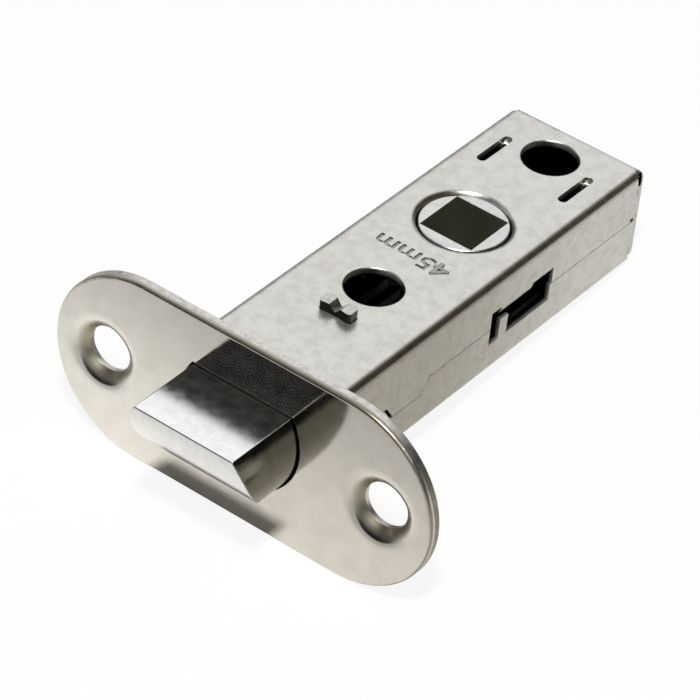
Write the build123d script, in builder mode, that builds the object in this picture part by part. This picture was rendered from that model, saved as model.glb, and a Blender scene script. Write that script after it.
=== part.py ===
from build123d import *
from math import cos, radians, sin, tan
import os

# Tubular mortice latch for an interior door, in millimetres.
# The origin is the centre of the forend's outer face, and +Y runs from it into the door.
# +X runs along the forend, and +Z is up out of the case's broad face.

# Door standard: spindle and bolt-through fixings
backset = 45.0
fixing_pitch = 38.0
fixing_hole = 7.6
fixing_rim = 0.35
spindle = 8.0
spindle_play = 0.1

# Case, two pressed steel channels that meet edge to edge
case_width = 21.2
case_height = 15.0
case_tail = 26.0
sheet = 1.2
bend_inner = 0.4
seam_gap = 0.1
flap_gap = 0.15
flap_inset = 0.4
relief_depth = 0.4
relief_height = 2.0

# Forend, a dished face plate over a backing plate, with its two wood screw holes
screw_pitch = 42.8
screw_margin = 7.6
screw_hole = 6.3
forend_width = 26.7
face_sheet = 0.7
face_edge = 0.5
backing_sheet = 1.1
backing_edge = 0.2
dimple_mouth = 9.2
dimple_roll = 3.0
dimple_land = 0.65
dimple_play = 0.1

# Front tabs of the case, pressed through the backing plate
tab_low = 3.9
tab_high = 5.8
tab_short = 0.1
tab_play = 0.05

# Spindle collars drawn inward from the case's broad faces
collar_roll = 1.1
collar_depth = 0.9
collar_wall = 0.9
collar_land = 0.7
collar_play = 0.2

# Guide ribs lanced inward beside the rear fixing hole
rib_spacing = 12.9
rib_width = 1.35
rib_length = 7.0
rib_setback = 15.5
rib_press = 1.3
rib_slope = 1.4
rib_lip = 0.3

# Locating tongue at the front of the side seam
tongue_start = 15.8
tongue_length = 8.7
tongue_drop = 2.05
tongue_taper = 1.45
tongue_gap = 0.5

# Crimped catch in the side seam, beside the spindle
catch_lead = 7.6
catch_length = 13.4
catch_height = 2.5
crimp_inset = 2.1
crimp_length = 6.7
crimp_bend = 2.1
crimp_sweep = 55.0
window_drop = 2.6
window_inset = 0.3
post_inset = 2.1
post_width = 1.7
post_height = 0.45

# Spring seat, a cross plate staked into both broad faces ahead of the front fixing hole
seat_setback = 2.8
seat_sheet = 1.4
seat_play = 0.1
seat_tab = 4.8
stake_height = 1.4
stake_spread = 0.35
stake_waist = 0.05
stake_groove = 0.9
stake_round = 0.45
seat_boss = 3.6
seat_boss_height = 1.0

# Bolt, a bar of circular section with a flat top and bottom, its underside curving up to the nose
bolt_side_gap = 0.4
bolt_rise = 1.2
bolt_height = 12.4
bolt_reach = 11.2
bolt_heel = 0.5
nose_radius = 16.5
bolt_edge = 0.18
bolt_foot = 0.9
bolt_play = 0.3
bolt_travel = 10.6
bolt_stop = 0.6
pocket_diameter = 7.6
pocket_floor = 2.0

# Draw arms, steel strips riveted to flats on the bolt's tail and running past the follower
arm_sheet = 1.2
arm_play = 0.25
arm_height = 9.6
arm_lap = 4.4
arm_seat = 0.05
arm_stop = 0.6
arm_corner = 0.8
window_height = 6.0
window_corner = 0.6
rivet_diameter = 2.4
rivet_setback = 2.2
rivet_depth = 1.6
rivet_head = 4.0
rivet_head_height = 0.7
rivet_play = 0.02

# Follower, turned by the spindle, with a wing reaching through each arm's window
follower_wall = 0.16
follower_recess = 0.4
follower_edge = 0.12
wing_sweep = 38.5
wing_play = 0.7
wing_thickness = 2.4
wing_height = 5.2
wing_tip = 0.35
wing_gap = 0.25
wing_room = 0.5

# Compression spring between the bolt's pocket and the spring seat
spring_wire = 0.8
spring_diameter = 6.0
spring_turns = 8.5

# Heights and widths of the case
half_width = case_width / 2
half_height = case_height / 2
inner_width = half_width - sheet
inner_height = half_height - sheet
bend_outer = bend_inner + sheet
bolt_diameter = 2 * (inner_width - bolt_side_gap)

# Stations along the latch, from the forend's outer face to the case's end
case_front = face_sheet + backing_sheet
case_rear = backset + case_tail
wall_end = case_rear - sheet - flap_gap
front_fixing = backset - fixing_pitch / 2
rear_fixing = backset + fixing_pitch / 2
seat_rear = front_fixing - fixing_hole / 2 - seat_setback
seat_front = seat_rear - seat_sheet
bolt_rear = seat_front - bolt_travel - bolt_stop
arm_start = bolt_rear - arm_lap + arm_seat
arm_end = case_rear - sheet - arm_stop - bolt_travel
rivet_station = bolt_rear - rivet_setback

# Radii about the spindle
follower_radius = (spindle + spindle_play) / 2 ** 0.5 + follower_wall
collar_bore = follower_radius + collar_play
collar_mouth = collar_bore + collar_roll
arm_inner = follower_radius + arm_play
wing_radius = inner_width - wing_play

forend_length = screw_pitch + 2 * screw_margin
screw_places = (-screw_pitch / 2, screw_pitch / 2)
sides = (-1, 1)

os.makedirs("parts", exist_ok=True)


def across(y):
    """Plane square to the latch at a station; an extrusion from it runs towards the forend."""
    return Plane.XZ.offset(-y)


def side_walls():
    """Planes on the left side of each side wall; an extrusion by the sheet fills the wall."""
    return Plane.YZ.offset(-half_width), Plane.YZ.offset(inner_width)


def fill(*corners):
    """Face through the given corners, added to the sketch that is open."""
    Polygon(*corners, align=None)


def bolt_section(play):
    """Section of the bolt grown by a clearance, for the bolt itself and for its aperture."""
    with BuildSketch() as section:
        with Locations((0, bolt_rise)):
            Circle(bolt_diameter / 2 + play)
        Rectangle(bolt_diameter + 2 * play, bolt_height + 2 * play, mode=Mode.INTERSECT)
    return section.sketch


def end_flap(edge):
    """Rear flap of a channel, bent down from the broad face to the height of the free edge."""
    start = wall_end - bend_outer
    with BuildPart() as flap:
        with BuildSketch(Plane.YZ):
            with Locations((case_rear, half_height)):
                RectangleRounded(case_height, 2 * case_height, bend_outer, align=(Align.MAX, Align.MAX))
            with Locations((case_rear - sheet, inner_height)):
                RectangleRounded(
                    case_height, 2 * case_height, bend_inner, align=(Align.MAX, Align.MAX), mode=Mode.SUBTRACT
                )
            with Locations((case_rear, half_height)):
                Rectangle(
                    case_rear - start, half_height - edge, align=(Align.MAX, Align.MAX), mode=Mode.INTERSECT
                )
        extrude(amount=half_width - flap_inset, both=True)
        with BuildSketch(across(case_rear)):
            RectangleRounded(case_width - 2 * flap_inset, case_height, bend_outer)
        extrude(amount=case_rear - start, mode=Mode.INTERSECT)
    return flap.part


def half_case(edge):
    """Channel of the case above a free edge, with what the upper and lower ones share."""
    flap = end_flap(edge)
    with BuildPart() as shell:
        with BuildSketch(across(wall_end)):
            RectangleRounded(case_width, case_height, bend_outer)
            RectangleRounded(2 * inner_width, 2 * inner_height, bend_inner, mode=Mode.SUBTRACT)
            with Locations((0, edge)):
                Rectangle(case_width, case_height, align=(Align.CENTER, Align.MAX), mode=Mode.SUBTRACT)
        extrude(amount=wall_end - case_front)
        add(flap)

        # Slots under the corners, where the flap parts from the side walls
        with Locations([(side * half_width, case_rear - sheet, inner_height) for side in sides]):
            Box(
                2 * sheet,
                flap_gap + relief_depth,
                relief_height,
                align=(Align.CENTER, Align.MAX, Align.MAX),
                mode=Mode.SUBTRACT,
            )

        # Front tabs
        with BuildSketch(*side_walls()):
            with Locations((face_sheet + tab_short, tab_low)):
                Rectangle(backing_sheet + sheet, tab_high - tab_low, align=(Align.MIN, Align.MIN))
        extrude(amount=sheet)

        # Bolt-through fixing holes with their punched rims
        with Locations((0, front_fixing, half_height), (0, rear_fixing, half_height)):
            Hole(fixing_hole / 2)
        rims = shell.edges().filter_by(GeomType.CIRCLE).filter_by(Plane.XY).group_by(Axis.Z)[-1]
        fillet(rims, fixing_rim)

        # Spindle collar with its rolled mouth
        collar_outer = collar_mouth + collar_land
        collar_end = inner_height - collar_depth
        with Locations((0, backset, half_height)):
            Hole(collar_outer)
        with BuildSketch(across(backset)):
            with BuildLine():
                Line((collar_outer, half_height), (collar_mouth, half_height))
                CenterArc((collar_mouth, half_height - collar_roll), collar_roll, 90, 90)
                Polyline(
                    (collar_bore, half_height - collar_roll),
                    (collar_bore, collar_end),
                    (collar_bore + collar_wall, collar_end),
                    (collar_bore + collar_wall, inner_height),
                    (collar_outer, inner_height),
                    (collar_outer, half_height),
                )
            make_face()
        revolve(axis=Axis((0, backset, 0), (0, 0, 1)))

        # Guide ribs, sheared along both sides and pushed in between sloping ends
        rib_station = backset + rib_setback
        with BuildSketch(Plane.XY.offset(half_height)):
            with Locations([(side * rib_spacing / 2, rib_station) for side in sides]):
                SlotOverall(rib_length, rib_width, rotation=90)
        extrude(amount=-half_height, mode=Mode.SUBTRACT)
        shoulder = half_height - rib_lip
        crown = half_height - rib_press
        slope_top = rib_length / 2 - rib_slope
        ridge = [
            (-rib_length / 2 - rib_lip, shoulder),
            (-rib_length / 2, shoulder),
            (-slope_top, crown),
            (slope_top, crown),
            (rib_length / 2, shoulder),
            (rib_length / 2 + rib_lip, shoulder),
        ]
        top_row = [(rib_station + y, z) for y, z in ridge]
        under_row = [(y, z - sheet) for y, z in reversed(top_row)]
        with BuildSketch(*[Plane.YZ.offset((side * rib_spacing - rib_width) / 2) for side in sides]):
            fill(*top_row, *under_row)
        extrude(amount=rib_width)

        # Slot for the spring seat's tab
        with Locations((0, seat_rear - seat_sheet / 2, half_height)):
            Box(seat_tab + 2 * seat_play, seat_sheet + 2 * seat_play, 2 * bend_outer, mode=Mode.SUBTRACT)
    return shell.part


upper_channel = half_case(0)
lower_channel = mirror(half_case(seam_gap), about=Plane.XY)
tongue_end = tongue_start + tongue_length
catch_start = backset - catch_lead
catch_end = catch_start + catch_length
crimp_start = catch_start + crimp_inset
crimp_end = crimp_start + crimp_length
post_start = catch_start + post_inset


# Upper channel, with a tapered tongue and a crimped tab on each side wall
with BuildPart() as case_upper:
    add(upper_channel)
    with BuildSketch(*side_walls()):
        fill(
            (tongue_start, sheet),
            (tongue_start, 0),
            (tongue_start + tongue_taper, -tongue_drop),
            (tongue_end - tongue_taper, -tongue_drop),
            (tongue_end, 0),
            (tongue_end, sheet),
        )
    extrude(amount=sheet)
    with BuildSketch(*side_walls()):
        with Locations((catch_start, 0)):
            Rectangle(catch_length, catch_height, align=(Align.MIN, Align.MIN))
    extrude(amount=sheet, mode=Mode.SUBTRACT)
    with BuildSketch(across(crimp_end)):
        bend_centre = (half_width - crimp_bend, catch_height)
        with BuildLine():
            outside = CenterArc(bend_centre, crimp_bend, 0, -crimp_sweep)
            inside = CenterArc(bend_centre, crimp_bend - sheet, 0, -crimp_sweep)
            Line(outside @ 0, inside @ 0)
            Line(outside @ 1, inside @ 1)
        make_face()
        mirror(about=Plane.YZ)
    extrude(amount=crimp_length)
case_upper.part.label = "case_upper"
export_step(case_upper.part, "parts/case_upper.step")


# Lower channel, with the recess, the window and the post that receive them
with BuildPart() as case_lower:
    add(lower_channel)
    recess_start = tongue_start - tongue_gap
    recess_end = tongue_end + seam_gap
    recess_floor = -tongue_drop - seam_gap
    with BuildSketch(*side_walls()):
        fill(
            (recess_start, 0),
            (recess_start, -seam_gap),
            (recess_start + tongue_taper, recess_floor),
            (recess_end - tongue_taper, recess_floor),
            (recess_end, -seam_gap),
            (recess_end, 0),
        )
        with Locations((catch_start, 0)):
            Rectangle(catch_length - window_inset, window_drop, align=(Align.MIN, Align.MAX))
    extrude(amount=sheet, mode=Mode.SUBTRACT)
    with BuildSketch(*side_walls()):
        with Locations((post_start, post_height)):
            Rectangle(post_width, post_height + window_drop + sheet, align=(Align.MIN, Align.MAX))
    extrude(amount=sheet)
case_lower.part.label = "case_lower"
export_step(case_lower.part, "parts/case_lower.step")


def forend_blank(front, rear):
    """Round-ended plate with the bolt's aperture, between two stations."""
    with BuildPart() as plate:
        with BuildSketch(across(rear)):
            SlotOverall(forend_length, forend_width)
            add(bolt_section(bolt_play), mode=Mode.SUBTRACT)
        extrude(amount=rear - front)
    return plate.part


# Each side of a dimple's cone runs at 45 degrees, so radius and depth add up to one value along it.
cone_front = dimple_mouth / 2
cone_rear = cone_front + face_sheet * 2 ** 0.5
land_front = cone_front - screw_hole / 2
land_rear = land_front + dimple_land
dimple_room = cone_front + dimple_roll * tan(radians(22.5)) + dimple_play
face_blank = forend_blank(0, face_sheet)

# Face plate, dished inward round each screw hole
with BuildPart() as face_plate:
    add(face_blank)
    fillet(face_plate.faces().sort_by(Axis.Y)[0].outer_wire().edges(), face_edge)
    with BuildSketch(across(face_sheet)):
        with Locations([(x, 0) for x in screw_places]):
            Circle(dimple_room)
    extrude(amount=face_sheet, mode=Mode.SUBTRACT)
    for x in screw_places:
        with BuildSketch(Plane.XY) as dish:
            fill(
                (x + dimple_room, 0),
                (x + cone_front, 0),
                (x + screw_hole / 2, land_front),
                (x + screw_hole / 2, land_rear),
                (x + cone_rear - land_rear, land_rear),
                (x + cone_rear - face_sheet, face_sheet),
                (x + dimple_room, face_sheet),
            )
            fillet(dish.vertices().sort_by_distance((x + cone_front, 0))[0], dimple_roll)
            back_bend = dish.vertices().sort_by_distance((x + cone_rear - face_sheet, face_sheet))[0]
            fillet(back_bend, dimple_roll - face_sheet)
        revolve(axis=Axis((x, 0, 0), (0, 1, 0)))
face_plate.part.label = "face_plate"
export_step(face_plate.part, "parts/face_plate.step")


backing_blank = forend_blank(face_sheet, case_front)

# Backing plate, countersunk for the dimples and slotted for the case's tabs
with BuildPart() as backing_plate:
    add(backing_blank)
    chamfer(backing_plate.faces().sort_by(Axis.Y)[-1].outer_wire().edges(), backing_edge)
    seat_cone = cone_rear + dimple_play * 2 ** 0.5
    for x in screw_places:
        with BuildSketch(Plane.XY):
            fill(
                (x, face_sheet),
                (x + seat_cone - face_sheet, face_sheet),
                (x + seat_cone - case_front, case_front),
                (x, case_front),
            )
        revolve(axis=Axis((x, 0, 0), (0, 1, 0)), mode=Mode.SUBTRACT)
    front_circles = backing_plate.edges().filter_by(GeomType.CIRCLE).group_by(Axis.Y)[0]
    fillet(front_circles.group_by(SortBy.RADIUS)[0], dimple_roll - face_sheet)
    with BuildSketch(across(case_front)):
        with GridLocations(case_width - sheet, tab_low + tab_high, 2, 2):
            Rectangle(sheet + 2 * tab_play, tab_high - tab_low + 2 * tab_play)
    extrude(amount=backing_sheet, mode=Mode.SUBTRACT)
backing_plate.part.label = "backing_plate"
export_step(backing_plate.part, "parts/backing_plate.step")


# Spring seat, a plate between the draw arms with a boss for the spring and a staked tab each way
with BuildPart() as spring_seat:
    with BuildSketch(across(seat_rear)):
        Rectangle(2 * (arm_inner - arm_play), 2 * (inner_height - seat_play))
        Rectangle(seat_tab, case_height)
    extrude(amount=seat_sheet)
    with BuildSketch(across(seat_front)):
        Circle(seat_boss / 2)
    extrude(amount=seat_boss_height)
    fillet(spring_seat.faces().sort_by(Axis.Y)[0].edges(), seat_boss_height / 2)
    seat_middle = seat_rear - seat_sheet / 2
    lobe = seat_sheet / 2 + stake_spread
    waist = seat_sheet / 2 + stake_waist
    stake_top = half_height + stake_height
    with BuildSketch(Plane.XY.offset(half_height)):
        fill(
            (-seat_tab / 2, seat_middle - lobe),
            (0, seat_middle - waist),
            (seat_tab / 2, seat_middle - lobe),
            (seat_tab / 2, seat_middle + lobe),
            (0, seat_middle + waist),
            (-seat_tab / 2, seat_middle + lobe),
        )
    extrude(amount=stake_height)
    corners = spring_seat.edges().filter_by(Axis.Z).group_by(Axis.Z)[-1]
    fillet(corners.filter_by(lambda edge: abs(edge.center().X) > seat_tab / 4), stake_round)
    with BuildSketch(across(seat_middle)):
        fill((-stake_groove, stake_top), (0, stake_top - stake_groove), (stake_groove, stake_top))
    extrude(amount=lobe, both=True, mode=Mode.SUBTRACT)
    mirror(about=Plane.XY)
spring_seat.part.label = "spring_seat"
export_step(spring_seat.part, "parts/spring_seat.step")


# Bolt head, bevelled below, with a spring pocket, flats for the arms and rivet holes in its tail
with BuildPart() as bolt_head:
    with BuildSketch(across(bolt_rear)):
        add(bolt_section(0))
    extrude(amount=bolt_rear + bolt_reach)
    with BuildSketch(Plane.YZ):
        with BuildLine():
            heel_to_rear = Line((-bolt_heel, -bolt_height / 2), (bolt_rear, -bolt_height / 2))
            rear_to_top = Line(heel_to_rear @ 1, (bolt_rear, bolt_height / 2))
            top_to_nose = Line(rear_to_top @ 1, (-bolt_reach, bolt_height / 2))
            RadiusArc(heel_to_rear @ 0, top_to_nose @ 1, nose_radius)
        make_face()
    extrude(amount=bolt_diameter, both=True, mode=Mode.INTERSECT)
    fillet(bolt_head.faces().sort_by(Axis.Y)[0].edges().sort_by(Axis.Z)[-1], bolt_edge)
    rows = bolt_head.edges().filter_by(Axis.Y).group_by(Axis.Z)
    fillet(rows[0], bolt_foot)
    rows = bolt_head.edges().filter_by(Axis.Y).group_by(Axis.Z)
    fillet(rows[-1], bolt_edge)
    with BuildSketch(across(bolt_rear)):
        Circle(pocket_diameter / 2)
    extrude(amount=bolt_rear + pocket_floor, mode=Mode.SUBTRACT)
    flat = arm_inner - arm_seat
    with BuildSketch(across(bolt_rear)):
        Rectangle(2 * bolt_diameter, 2 * bolt_height)
        Rectangle(2 * flat, 2 * bolt_height, mode=Mode.SUBTRACT)
    extrude(amount=arm_lap, mode=Mode.SUBTRACT)
    with BuildSketch(*[Plane.YZ.offset(side * flat) for side in sides]):
        with Locations((rivet_station, 0)):
            Circle(rivet_diameter / 2 + rivet_play)
    extrude(amount=rivet_depth, both=True, mode=Mode.SUBTRACT)
bolt_head.part.label = "bolt_head"
export_step(bolt_head.part, "parts/bolt_head.step")


# Window of a draw arm, from the room the bolt needs when pushed in alone to the wing's rear flank
sweep_angle = radians(wing_sweep)
wing_half = wing_thickness / 2
window_end = backset - arm_inner * tan(sweep_angle) + wing_half / cos(sweep_angle) + wing_gap
wing_front = backset - wing_radius * sin(sweep_angle) - wing_half * cos(sweep_angle)
window_start = wing_front - bolt_travel - wing_room


def draw_arm(side):
    """Draw arm, a flat strip with a rivet hole, a window for the wing and clipped rear corners."""
    with BuildPart() as arm:
        with BuildSketch(Plane.YZ.offset(side * arm_inner)):
            with Locations((arm_start, 0)):
                Rectangle(arm_end - arm_start, arm_height, align=(Align.MIN, Align.CENTER))
            with Locations(((window_start + window_end) / 2, 0)):
                RectangleRounded(window_end - window_start, window_height, window_corner, mode=Mode.SUBTRACT)
            with Locations((rivet_station, 0)):
                Circle(rivet_diameter / 2 + rivet_play, mode=Mode.SUBTRACT)
        extrude(amount=side * arm_sheet)
        chamfer(arm.edges().filter_by(Axis.X).group_by(Axis.Y)[-1], arm_corner)
    return arm.part


def arm_rivet(side):
    """Round-headed rivet that joins a draw arm to the bolt's flat."""
    with BuildPart() as rivet:
        with BuildSketch(Plane.YZ.offset(side * (arm_inner - rivet_depth))):
            with Locations((rivet_station, 0)):
                Circle(rivet_diameter / 2)
        extrude(amount=side * (rivet_depth + arm_sheet + arm_seat))
        with BuildSketch(Plane.YZ.offset(side * (arm_inner + arm_sheet + arm_seat))):
            with Locations((rivet_station, 0)):
                Circle(rivet_head / 2)
        extrude(amount=side * rivet_head_height)
        fillet(rivet.edges().group_by(Axis.X)[-1 if side > 0 else 0], rivet_head_height / 2)
    return rivet.part


for side, name in zip(sides, ("left", "right")):
    strip = draw_arm(side)
    strip.label = "draw_arm_" + name
    export_step(strip, "parts/draw_arm_" + name + ".step")
    rivet = arm_rivet(side)
    rivet.label = "arm_rivet_" + name
    export_step(rivet, "parts/arm_rivet_" + name + ".step")


# Follower, a round hub with a square hole and two wings swept towards the forend
with BuildPart() as follower:
    hub_height = case_height - 2 * follower_recess
    with BuildSketch(Plane.XY.offset(-hub_height / 2)):
        with Locations((0, backset)):
            Circle(follower_radius)
    extrude(amount=hub_height)
    discs = follower.faces().filter_by(Axis.Z)
    chamfer(discs.edges(), follower_edge)
    with BuildSketch(Plane.XY.offset(-wing_height / 2)):
        for angle in (-wing_sweep, 180 + wing_sweep):
            with Locations(Location((0, backset), angle)):
                RectangleRounded(2 * wing_radius, wing_thickness, wing_tip)
        with Locations((0, backset)):
            Rectangle(2 * case_width, case_width, align=(Align.CENTER, Align.MIN), mode=Mode.SUBTRACT)
    extrude(amount=wing_height)
    with BuildSketch(Plane.XY.offset(-case_height)):
        with Locations((0, backset)):
            Rectangle(spindle + spindle_play, spindle + spindle_play)
    extrude(amount=2 * case_height, mode=Mode.SUBTRACT)
follower.part.label = "follower"
export_step(follower.part, "parts/follower.step")


# Bolt spring, a helix of round wire ground flat where it meets the pocket and the seat
with BuildPart() as bolt_spring:
    spring_length = seat_front + pocket_floor
    spring_pitch = spring_length / spring_turns
    overrun = spring_wire
    with BuildLine() as coil:
        Helix(
            pitch=spring_pitch,
            height=spring_length + 2 * overrun,
            radius=spring_diameter / 2,
            center=(0, -pocket_floor - overrun, 0),
            direction=(0, 1, 0),
        )
    with BuildSketch(Plane(origin=coil.line @ 0, z_dir=coil.line % 0)):
        Circle(spring_wire / 2)
    sweep(path=coil.line, is_frenet=True)
    with BuildSketch(across(seat_front)):
        Circle(spring_diameter)
    extrude(amount=spring_length, mode=Mode.INTERSECT)
bolt_spring.part.label = "bolt_spring"
export_step(bolt_spring.part, "parts/bolt_spring.step")
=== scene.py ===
from math import cos, radians, sin

import bmesh
import bpy
from mathutils import Matrix, Vector


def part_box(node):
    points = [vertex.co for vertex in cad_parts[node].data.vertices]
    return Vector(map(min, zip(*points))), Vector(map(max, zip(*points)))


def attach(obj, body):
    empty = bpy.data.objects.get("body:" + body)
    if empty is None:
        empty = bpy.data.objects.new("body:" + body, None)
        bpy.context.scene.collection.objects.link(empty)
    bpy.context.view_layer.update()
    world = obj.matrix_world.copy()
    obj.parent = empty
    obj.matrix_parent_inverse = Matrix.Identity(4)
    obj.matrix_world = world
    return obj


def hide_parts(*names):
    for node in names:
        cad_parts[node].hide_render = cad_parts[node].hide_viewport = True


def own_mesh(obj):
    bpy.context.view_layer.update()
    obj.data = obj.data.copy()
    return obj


# Looks of the door latch, in metres and in the frame of its CAD model:
# the origin is the centre of the forend's outer face, +Y runs into the door, +Z out of the case.

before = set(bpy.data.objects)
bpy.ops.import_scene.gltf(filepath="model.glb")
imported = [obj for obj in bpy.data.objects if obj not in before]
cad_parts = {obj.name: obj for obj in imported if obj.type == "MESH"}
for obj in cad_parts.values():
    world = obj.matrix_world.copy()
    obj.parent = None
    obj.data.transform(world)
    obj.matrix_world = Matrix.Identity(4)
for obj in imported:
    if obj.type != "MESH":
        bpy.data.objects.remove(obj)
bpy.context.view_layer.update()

mm = 0.001

# Camera, as the photograph was taken
view_aim = Vector((0.26, 21.84, 0.0)) * mm
view_distance = 487.4 * mm
view_azimuth = radians(33.54)
view_elevation = radians(38.26)
view_roll = radians(6.42)
view_lens = 202.1
view_nearest = 10 * mm

# Floor, tilted as the latch lies: on the forend's lower edge and the case's rear edge.
# The metal mirrors it dimmer over the stretch of floor_fade, towards the front.
floor_size = 1600 * mm
floor_colour = (0.88, 0.87, 0.84)
floor_glow = 0.90
floor_fade = (-38 * mm, -6 * mm)
floor_far = 0.60

# Light: a plain level all round, a lamp above the front, and pale walls for the metal to mirror
world_level = 0.09
lamp_place = Vector((172, -322, 750)) * mm
lamp_size = 110 * mm
lamp_power = 6.5
gloom_level = 0.006

# Walls: direction, cosines at the wall's rim and at its full brightness, rise of its foot, brightness
walls = (
    ((-0.45, 0.55, 0.70), (0.52, 0.86), (0.12, 0.42), 1.13),
    ((0.50, -0.60, 0.62), (0.88, 0.97), (0.20, 0.40), 0.80),
    ((-0.95, -0.10, 0.25), (0.82, 0.97), (0.00, 0.15), 0.40),
)

# Size stamp on the case, read from the rear. Its weight thickens the strokes, in the font's own units.
stamp_words = "45mm"
stamp_start = Vector((5.1, 35.7)) * mm
stamp_length = 11.1 * mm
stamp_height = 2.7 * mm
stamp_depth = 0.16 * mm
stamp_weight = 0.014
stamp_curve_steps = 4

# Case sheet, and the slots where its side walls meet its rear flap, as open as the photograph shows:
# lowest and highest point, then the slot's front and back from the case's rear face, all in mm
sheet = 1.2 * mm
slots = ((4.9, 6.8, 1.75, 0.35), (0.0, 0.5, 2.35, 1.2))

# Vertices closer than this are one, and a face whose normal has this part along an axis is square to it
weld = 0.0005 * mm
square_to_axis = 0.99999

# Metals: the broad mottling's share of the tone, the tone at the dark and at the light colour, the mottling
# at the lower and at the higher roughness, and the depth of the grain's relief as a share of its width
broad_share = 0.6
tone_span = (0.36, 0.62)
rough_span = (0.3, 0.7)
relief_share = 0.2

# Pits: their width in grains, the noise at their rim and at their floor, and their share of the dark tone
pit_width = 1.7
pit_span = (0.70, 0.78)
pit_share = 0.35

# Recesses, darkened as painted shade with some grime: how far round a point counts, how open it is where
# dark and where clear, share of the dark tone
recess_shade_reach = 4.0 * mm
recess_shade_span = (0.12, 0.55)
recess_shade_share = 0.1

# Painted shade inside the case: its colour, and the depths where it is full and where it begins, as shares
# of the sheet under its outer faces. Behind the forend it comes in over the first share of a sheet.
inside_shade_colour = (0.005, 0.005, 0.0045)
inside_shade_depths = {"X": (0.6, 0.1), "Y": (0.9, 0.5), "Z": (0.85, 0.45)}
inside_shade_start = 0.3


def smooth(mesh, angle=30.0):
    """Smooth shading, with creases at sharp edges and faces square to an axis left truly flat."""
    mesh.shade_smooth()
    mesh.set_sharp_from_angle(angle=radians(angle))
    for face in mesh.polygons:
        face.use_smooth = max(abs(part) for part in face.normal) < square_to_axis


class Nodes:
    """Short way to build a node tree."""

    def __init__(self, tree):
        self.tree = tree
        tree.nodes.clear()

    def plug(self, socket, value):
        """Link the socket to another node's output, or set it to a plain value."""
        if isinstance(value, bpy.types.NodeSocket):
            self.tree.links.new(value, socket)
        else:
            socket.default_value = value

    def add(self, kind, inputs=None, **settings):
        """New node with its settings made and its inputs linked or set."""
        node = self.tree.nodes.new(kind)
        for name, value in settings.items():
            setattr(node, name, value)
        for name, value in (inputs or {}).items():
            self.plug(node.inputs[name], value)
        return node

    def math(self, operation, first, second=0.0):
        node = self.add("ShaderNodeMath", {0: first, 1: second}, operation=operation)
        return node.outputs[0]

    def mix(self, factor, first, second, blend_type="MIX"):
        """Colour between two colours; the second may be given without its alpha."""
        if isinstance(second, tuple):
            second = (*second, 1.0)
        inputs = {0: factor, 6: first, 7: second}
        return self.add("ShaderNodeMix", inputs, data_type="RGBA", blend_type=blend_type).outputs[2]

    def blend(self, factor, first, second):
        """First value where the factor is 0, second where it is 1."""
        rest = self.math("SUBTRACT", 1.0, factor)
        return self.math("ADD", self.math("MULTIPLY", rest, first), self.math("MULTIPLY", factor, second))

    def place(self, space, axis):
        """Position or normal along one axis of the object."""
        source = self.add("ShaderNodeTexCoord").outputs[space]
        return self.add("ShaderNodeSeparateXYZ", {0: source}).outputs[axis]

    def span(self, value, low, high, to_low=0.0, to_high=1.0):
        """Smooth step of a value from low to high, also where low is the larger."""
        inputs = {"Value": value, "From Min": low, "From Max": high, "To Min": to_low, "To Max": to_high}
        return self.add("ShaderNodeMapRange", inputs, interpolation_type="SMOOTHSTEP").outputs["Result"]

    def noise(self, grain, detail, roughness=0.5):
        """Noise whose cells are about as wide as the grain."""
        place = self.add("ShaderNodeTexCoord").outputs["Object"]
        inputs = {"Vector": place, "Scale": 1 / grain, "Detail": detail, "Roughness": roughness}
        return self.add("ShaderNodeTexNoise", inputs).outputs["Fac"]


def new_material(name):
    material = bpy.data.materials.new(name)
    material.use_nodes = True
    return material, Nodes(material.node_tree)


def under(nodes, value, face, depths):
    """1 as deep under an outer face as the first depth, and 0 from the second outwards."""
    full, begins = depths
    return nodes.span(value, face - full * sheet, face - begins * sheet, 1.0, 0.0)


def inside_shade_mask(nodes):
    """Where the painted shade inside the case goes: 1 inside the case, fading out through its sheet, and 0
    outside.
    """
    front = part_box("backing_plate")[1].y
    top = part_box("case_upper")[1]
    side = nodes.math("ABSOLUTE", nodes.place("Object", "X"))
    height = nodes.math("ABSOLUTE", nodes.place("Object", "Z"))
    station = nodes.place("Object", "Y")
    across_x = under(nodes, side, top.x, inside_shade_depths["X"])
    across_z = under(nodes, height, top.z, inside_shade_depths["Z"])
    behind = nodes.span(station, front, front + inside_shade_start * sheet)
    before = under(nodes, station, top.y, inside_shade_depths["Y"])
    across_y = nodes.math("MULTIPLY", behind, before)
    return nodes.math("MULTIPLY", nodes.math("MULTIPLY", across_x, across_z), across_y)


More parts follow.
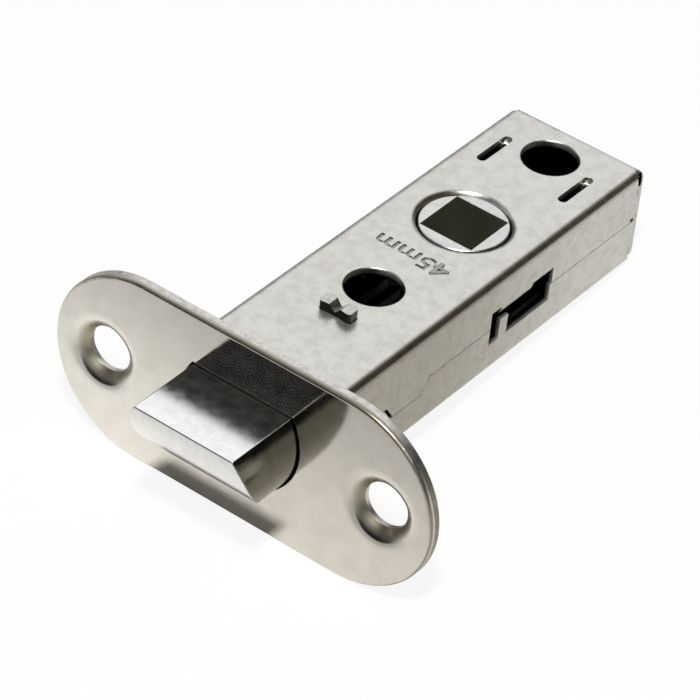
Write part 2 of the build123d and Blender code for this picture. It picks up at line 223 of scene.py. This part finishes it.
def metal(
    name, light, dark, rough, mottle, grain, bump, edge=0.08, pits=0.0, metallic=1.0, inside_shade=inside_shade_colour
):
    """Metal with two scales of mottling, fine grain in the relief, softened edges, and recesses darkened as
    painted shade with some grime.

    Mottle, grain and edge are widths in mm, and the last argument is the colour of the painted shade inside
    the case.
    """
    material, nodes = new_material(name)
    broad = nodes.noise(mottle * mm, detail=4.0, roughness=0.6)
    fine = nodes.noise(grain * mm, detail=3.0, roughness=0.6)
    tone = nodes.blend(broad_share, fine, broad)
    colour = nodes.mix(nodes.span(tone, *tone_span), (*dark, 1.0), light)
    if pits:
        pitted = nodes.span(nodes.noise(grain * pit_width * mm, detail=1.0), *pit_span, 0.0, pits)
        colour = nodes.mix(pitted, colour, tuple(channel * pit_share for channel in dark))
    # Painted shade, with some grime, where the surface is hemmed in
    recess_shade_ao = nodes.add("ShaderNodeAmbientOcclusion", {"Distance": recess_shade_reach}, samples=8, only_local=True)
    recess_shade_colour = (*(channel * recess_shade_share for channel in dark), 1.0)
    colour = nodes.mix(nodes.span(recess_shade_ao.outputs["AO"], *recess_shade_span), recess_shade_colour, colour)
    # Painted shade inside the case, over the finish's own colour
    colour = nodes.mix(inside_shade_mask(nodes), colour, inside_shade)
    bevel = nodes.add("ShaderNodeBevel", {"Radius": edge * mm}, samples=6)
    inputs = {
        "Strength": bump,
        "Distance": grain * relief_share * mm,
        "Height": fine,
        "Normal": bevel.outputs["Normal"],
    }
    relief = nodes.add("ShaderNodeBump", inputs)
    inputs = {
        "Base Color": colour,
        "Metallic": metallic,
        "Roughness": nodes.span(broad, *rough_span, *rough),
        "Normal": relief.outputs["Normal"],
    }
    shader = nodes.add("ShaderNodeBsdfPrincipled", inputs)
    nodes.add("ShaderNodeOutputMaterial", {"Surface": shader.outputs["BSDF"]})
    return material, nodes, shader


def facing(nodes, axis, low, high):
    """How far a surface looks along an axis: 0 to 1 as its normal's part along it goes from low to high."""
    return nodes.span(nodes.math("ABSOLUTE", nodes.place("Normal", axis)), low, high)


def roughen(finish, axis, span, more):
    """Rougher where the surface turns away from an axis."""
    nodes, shader = finish[1:]
    away = nodes.math("SUBTRACT", 1.0, facing(nodes, axis, *span))
    before = shader.inputs["Roughness"].links[0].from_socket
    nodes.plug(shader.inputs["Roughness"], nodes.math("ADD", before, nodes.math("MULTIPLY", away, more)))


def shade(finish, amount, colour):
    """Painted shade: base colour multiplied by a colour, as far as the amount goes."""
    nodes, shader = finish[1:]
    before = shader.inputs["Base Color"].links[0].from_socket
    nodes.plug(shader.inputs["Base Color"], nodes.mix(amount, before, colour, "MULTIPLY"))


def paint_shade_facing(finish, axis, span, colour, along=None, until=None):
    """Painted shade where the surface looks along an axis.

    It fades out again over the stretch in Y that along gives, in mm, and over the span of until.
    """
    nodes = finish[1]
    amount = facing(nodes, axis, *span)
    if until:
        amount = nodes.math("MULTIPLY", amount, facing(nodes, axis, *until))
    if along:
        fade = nodes.span(nodes.place("Object", "Y"), along[0] * mm, along[1] * mm, 1.0, 0.0)
        amount = nodes.math("MULTIPLY", amount, fade)
    shade(finish, amount, colour)


def paint_shade_along_x(finish, low, high, colour):
    """Painted shade that comes in over a stretch in X, in mm."""
    nodes = finish[1]
    shade(finish, nodes.span(nodes.place("Object", "X"), low * mm, high * mm), colour)


def dress(node_name, finish):
    """Finish on a CAD node, in place of the material that it was packed with."""
    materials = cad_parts[node_name].data.materials
    materials.clear()
    materials.append(finish[0])


# Stage: floor, world, lamp and camera


def make_floor():
    """Floor that shows white to the camera, mirrors dimmer in front and is clear from below."""
    rear_low, rear_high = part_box("case_lower")
    front = Vector((0, 0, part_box("face_plate")[0].z))
    rear = Vector((0, rear_high.y, rear_low.z))
    slope = (rear - front).normalized()
    mesh = bpy.data.meshes.new("floor")
    side = Vector((floor_size / 2, 0, 0))
    reach = slope * floor_size / 2
    middle = (front + rear) / 2
    corners = [middle - side - reach, middle + side - reach, middle + side + reach, middle - side + reach]
    mesh.from_pydata(corners, [], [(0, 1, 2, 3)])
    floor = bpy.data.objects.new("floor", mesh)
    bpy.context.collection.objects.link(floor)
    material, nodes = new_material("floor_white")
    path = nodes.add("ShaderNodeLightPath")
    far = nodes.span(nodes.place("Object", "Y"), *floor_fade, 1.0, 0.0)
    dim = nodes.math("MULTIPLY", far, path.outputs["Is Glossy Ray"])
    dimmed = tuple(channel * floor_far for channel in floor_colour)
    matte = nodes.add("ShaderNodeBsdfDiffuse", {"Color": nodes.mix(dim, (*floor_colour, 1.0), dimmed)})
    glow = nodes.add("ShaderNodeEmission", {"Strength": 1.0})
    shown = nodes.math("MULTIPLY", path.outputs["Is Camera Ray"], floor_glow)
    surface = nodes.add("ShaderNodeMixShader", {0: shown, 1: matte.outputs[0], 2: glow.outputs[0]})
    back = nodes.add("ShaderNodeNewGeometry").outputs["Backfacing"]
    clear = nodes.add("ShaderNodeBsdfTransparent")
    one_sided = nodes.add("ShaderNodeMixShader", {0: back, 1: surface.outputs[0], 2: clear.outputs[0]})
    nodes.add("ShaderNodeOutputMaterial", {"Surface": one_sided.outputs[0]})
    mesh.materials.append(material)


def make_world():
    """World that is white to the camera, even for diffuse light, and dark with pale walls in a mirror."""
    world = bpy.data.worlds.new("studio")
    bpy.context.scene.world = world
    world.use_nodes = True
    nodes = Nodes(world.node_tree)
    path = nodes.add("ShaderNodeLightPath")
    outward = nodes.add("ShaderNodeTexCoord").outputs["Generated"]
    height = nodes.place("Generated", "Z")
    mirrored = gloom_level
    for direction, rim, foot, brightness in walls:
        inputs = {0: outward, 1: Vector(direction).normalized()}
        toward = nodes.add("ShaderNodeVectorMath", inputs, operation="DOT_PRODUCT").outputs["Value"]
        wall = nodes.math("MULTIPLY", nodes.span(toward, *rim), nodes.span(height, *foot))
        mirrored = nodes.math("ADD", mirrored, nodes.math("MULTIPLY", wall, brightness))
    lit = nodes.blend(path.outputs["Is Diffuse Ray"], mirrored, world_level)
    level = nodes.blend(path.outputs["Is Camera Ray"], lit, 1.0)
    white = (1.0, 1.0, 1.0, 1.0)
    background = nodes.add("ShaderNodeBackground", {"Color": white, "Strength": level})
    nodes.add("ShaderNodeOutputWorld", {"Surface": background.outputs[0]})


def make_lamp(name, place, size, power):
    lamp = bpy.data.lights.new(name, "AREA")
    lamp.shape = "DISK"
    lamp.size = size
    lamp.energy = power
    obj = bpy.data.objects.new(name, lamp)
    obj.location = place
    obj.rotation_euler = (view_aim - Vector(place)).to_track_quat("-Z", "Y").to_euler()
    bpy.context.collection.objects.link(obj)


def make_camera():
    camera = bpy.data.cameras.new("camera")
    camera.lens = view_lens
    camera.clip_start = view_nearest
    obj = bpy.data.objects.new("camera", camera)
    toward = Vector(
        (
            cos(view_elevation) * sin(view_azimuth),
            -cos(view_elevation) * cos(view_azimuth),
            sin(view_elevation),
        )
    )
    turn = (-toward).to_track_quat("-Z", "Y").to_matrix() @ Matrix.Rotation(view_roll, 3, "Z")
    obj.matrix_world = Matrix.Translation(view_aim + toward * view_distance) @ turn.to_4x4()
    bpy.context.collection.objects.link(obj)
    bpy.context.scene.camera = obj


make_floor()
make_world()
make_lamp("overhead", lamp_place, lamp_size, lamp_power)
make_camera()

# Finishes: light and dark tone, lowest and highest roughness, then mottle, grain and edge in mm.
# The spans of the painted shade and of roughen are parts of the surface's normal along the axis.

case_zinc = metal(
    "case_zinc", (0.635, 0.63, 0.605), (0.515, 0.50, 0.46), (0.26, 0.34),
    mottle=1.6, grain=0.22, bump=0.3, pits=0.12, metallic=0.84,
)
# Painted shade on the side walls, darkest towards the forend
paint_shade_facing(case_zinc, "X", (0.2, 0.9), (0.62, 0.59, 0.54), along=(22, 62))
# Painted shade: a dark band where the sheet bends round to the sides
paint_shade_facing(case_zinc, "X", (0.35, 0.60), (0.40, 0.365, 0.30), until=(0.99, 0.80))

forend_satin = metal(
    "forend_satin", (0.83, 0.80, 0.75), (0.75, 0.72, 0.665), (0.08, 0.12), mottle=3.0, grain=0.3, bump=0.02
)
# Painted shade on the rim, where the face plate turns up and down
paint_shade_facing(forend_satin, "Z", (0.6, 0.95), (0.62, 0.62, 0.62))
roughen(forend_satin, "Y", (0.80, 0.97), 0.28)
# Painted shade on the tilted faces, the dished screw holes
paint_shade_facing(forend_satin, "Y", (0.95, 0.70), (0.50, 0.47, 0.39), until=(0.05, 0.30))
# Painted shade, darker towards the right end
paint_shade_along_x(forend_satin, -24, 12, (0.80, 0.79, 0.78))

backing_steel = metal(
    "backing_steel", (0.66, 0.65, 0.62), (0.44, 0.43, 0.405), (0.30, 0.42),
    mottle=0.9, grain=0.25, bump=0.35, metallic=0.85,
)
# Painted shade on the ends that look sideways
paint_shade_facing(backing_steel, "X", (0.25, 0.85), (0.42, 0.40, 0.35))

bolt_nickel = metal(
    "bolt_nickel", (0.85, 0.855, 0.85), (0.74, 0.74, 0.73), (0.15, 0.20),
    mottle=1.2, grain=0.16, bump=0.16, edge=0.12,
)
# Painted shade on the bolt's sides
paint_shade_facing(bolt_nickel, "X", (0.40, 0.62), (0.24, 0.23, 0.185))

seat_steel = metal(
    "seat_steel", (0.60, 0.59, 0.57), (0.40, 0.39, 0.37), (0.28, 0.42), mottle=0.6, grain=0.15, bump=0.35
)
# Painted shade on faces turned part way to the front and back
paint_shade_facing(seat_steel, "Y", (0.2, 0.7), (0.12, 0.12, 0.105))
# Painted shade on every face but the top
paint_shade_facing(seat_steel, "Z", (0.90, 0.45), (0.42, 0.41, 0.37))

# Inside the case the follower's painted shade is lighter than the other parts'
follower_steel = metal(
    "follower_steel", (0.68, 0.68, 0.67), (0.54, 0.54, 0.53), (0.28, 0.38),
    mottle=1.0, grain=0.2, bump=0.2, inside_shade=(0.50, 0.51, 0.42),
)
inner_steel = metal(
    "inner_steel", (0.42, 0.41, 0.39), (0.30, 0.29, 0.27), (0.35, 0.5), mottle=1.2, grain=0.2, bump=0.2
)
stamp_shade = metal(
    "stamp_shade", (0.40, 0.395, 0.37), (0.26, 0.255, 0.235), (0.35, 0.5), mottle=0.5, grain=0.1, bump=0.3
)
slot_shade = metal(
    "slot_shade", (0.04, 0.038, 0.034), (0.025, 0.024, 0.021), (0.4, 0.55), mottle=0.5, grain=0.1, bump=0.2
)
spring_steel = metal(
    "spring_steel", (0.20, 0.20, 0.21), (0.12, 0.12, 0.125), (0.3, 0.4), mottle=1.0, grain=0.1, bump=0.1
)


def copy_of(node_name, name):
    """New piece on a CAD node's own mesh, with its split vertices joined again."""
    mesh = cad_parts[node_name].data.copy()
    mesh.name = name
    shape = bmesh.new()
    shape.from_mesh(mesh)
    bmesh.ops.remove_doubles(shape, verts=shape.verts, dist=weld)
    shape.to_mesh(mesh)
    shape.free()
    piece = bpy.data.objects.new(name, mesh)
    bpy.context.collection.objects.link(piece)
    return piece


def apply_modifiers(piece):
    """Piece's mesh as its modifiers leave it."""
    graph = bpy.context.evaluated_depsgraph_get()
    mesh = bpy.data.meshes.new_from_object(piece.evaluated_get(graph))
    piece.modifiers.clear()
    piece.data = mesh


def stamp_letters():
    """Shape of the size stamp's letters, sunk to its depth in the case's broad face."""
    text = bpy.data.curves.new("stamp_text", "FONT")
    text.body = stamp_words
    text.offset = stamp_weight
    text.extrude = 1.0
    text.resolution_u = stamp_curve_steps
    source = bpy.data.objects.new("stamp_text", text)
    bpy.context.collection.objects.link(source)
    bpy.context.view_layer.update()
    mesh = bpy.data.meshes.new_from_object(source.evaluated_get(bpy.context.evaluated_depsgraph_get()))
    bpy.data.objects.remove(source)
    low = Vector([min(v.co[i] for v in mesh.vertices) for i in range(3)])
    high = Vector([max(v.co[i] for v in mesh.vertices) for i in range(3)])
    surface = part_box("case_upper")[1].z
    for v in mesh.vertices:
        along = (v.co.x - low.x) / (high.x - low.x) * stamp_length
        up = (v.co.y - low.y) / (high.y - low.y) * stamp_height
        v.co = (stamp_start.x - along, stamp_start.y - up, surface + stamp_depth * v.co.z)
    shape = bmesh.new()
    shape.from_mesh(mesh)
    bmesh.ops.remove_doubles(shape, verts=shape.verts, dist=weld)
    return shape


def add_slots(shape):
    """Boxes where each side wall meets the rear flap, at the top corner and at the seam."""
    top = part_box("case_upper")[1]
    for side in (-1, 1):
        for low, high, front, back in slots:
            size = Vector((2 * sheet, (front - back) * mm, (high - low) * mm))
            middle = Vector((side * top.x, top.y - (front + back) / 2 * mm, (high + low) / 2 * mm))
            place = Matrix.Translation(middle) @ Matrix.Diagonal((*size, 1.0))
            cube = bmesh.ops.create_cube(shape, size=1.0, matrix=place)
            for vert in cube["verts"]:
                for face in vert.link_faces:
                    face.material_index = 1


def stamped_case():
    """Upper channel of the case with the size stamp pressed in and its rear slots opened."""
    case = copy_of("case_upper", "case_upper_stamped")
    case.data.materials.clear()
    case.data.materials.append(case_zinc[0])
    shape = stamp_letters()
    add_slots(shape)
    bmesh.ops.recalc_face_normals(shape, faces=shape.faces)
    mesh = bpy.data.meshes.new("case_cutter")
    shape.to_mesh(mesh)
    shape.free()
    mesh.materials.append(stamp_shade[0])
    mesh.materials.append(slot_shade[0])
    cutter = bpy.data.objects.new("case_cutter", mesh)
    bpy.context.collection.objects.link(cutter)
    cut = case.modifiers.new("cut", "BOOLEAN")
    cut.operation = "DIFFERENCE"
    cut.solver = "EXACT"
    cut.material_mode = "TRANSFER"
    cut.object = cutter
    apply_modifiers(case)
    bpy.data.objects.remove(cutter)
    smooth(case.data)
    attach(case, "case")
    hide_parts("case_upper")


def coiled_spring():
    """Bolt spring, on its own smooth-shaded copy of the CAD mesh."""
    spring = copy_of("bolt_spring", "bolt_spring_coil")
    spring.data.materials.clear()
    spring.data.materials.append(spring_steel[0])
    smooth(spring.data, 40)
    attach(spring, "case")
    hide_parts("bolt_spring")
    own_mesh(spring)


stamped_case()
coiled_spring()
dress("case_lower", case_zinc)
dress("face_plate", forend_satin)
dress("backing_plate", backing_steel)
dress("bolt_head", bolt_nickel)
dress("draw_arm_left", inner_steel)
dress("draw_arm_right", inner_steel)
dress("arm_rivet_left", inner_steel)
dress("arm_rivet_right", inner_steel)
dress("follower", follower_steel)
dress("spring_seat", seat_steel)

bpy.context.scene.view_settings.view_transform = "Standard"
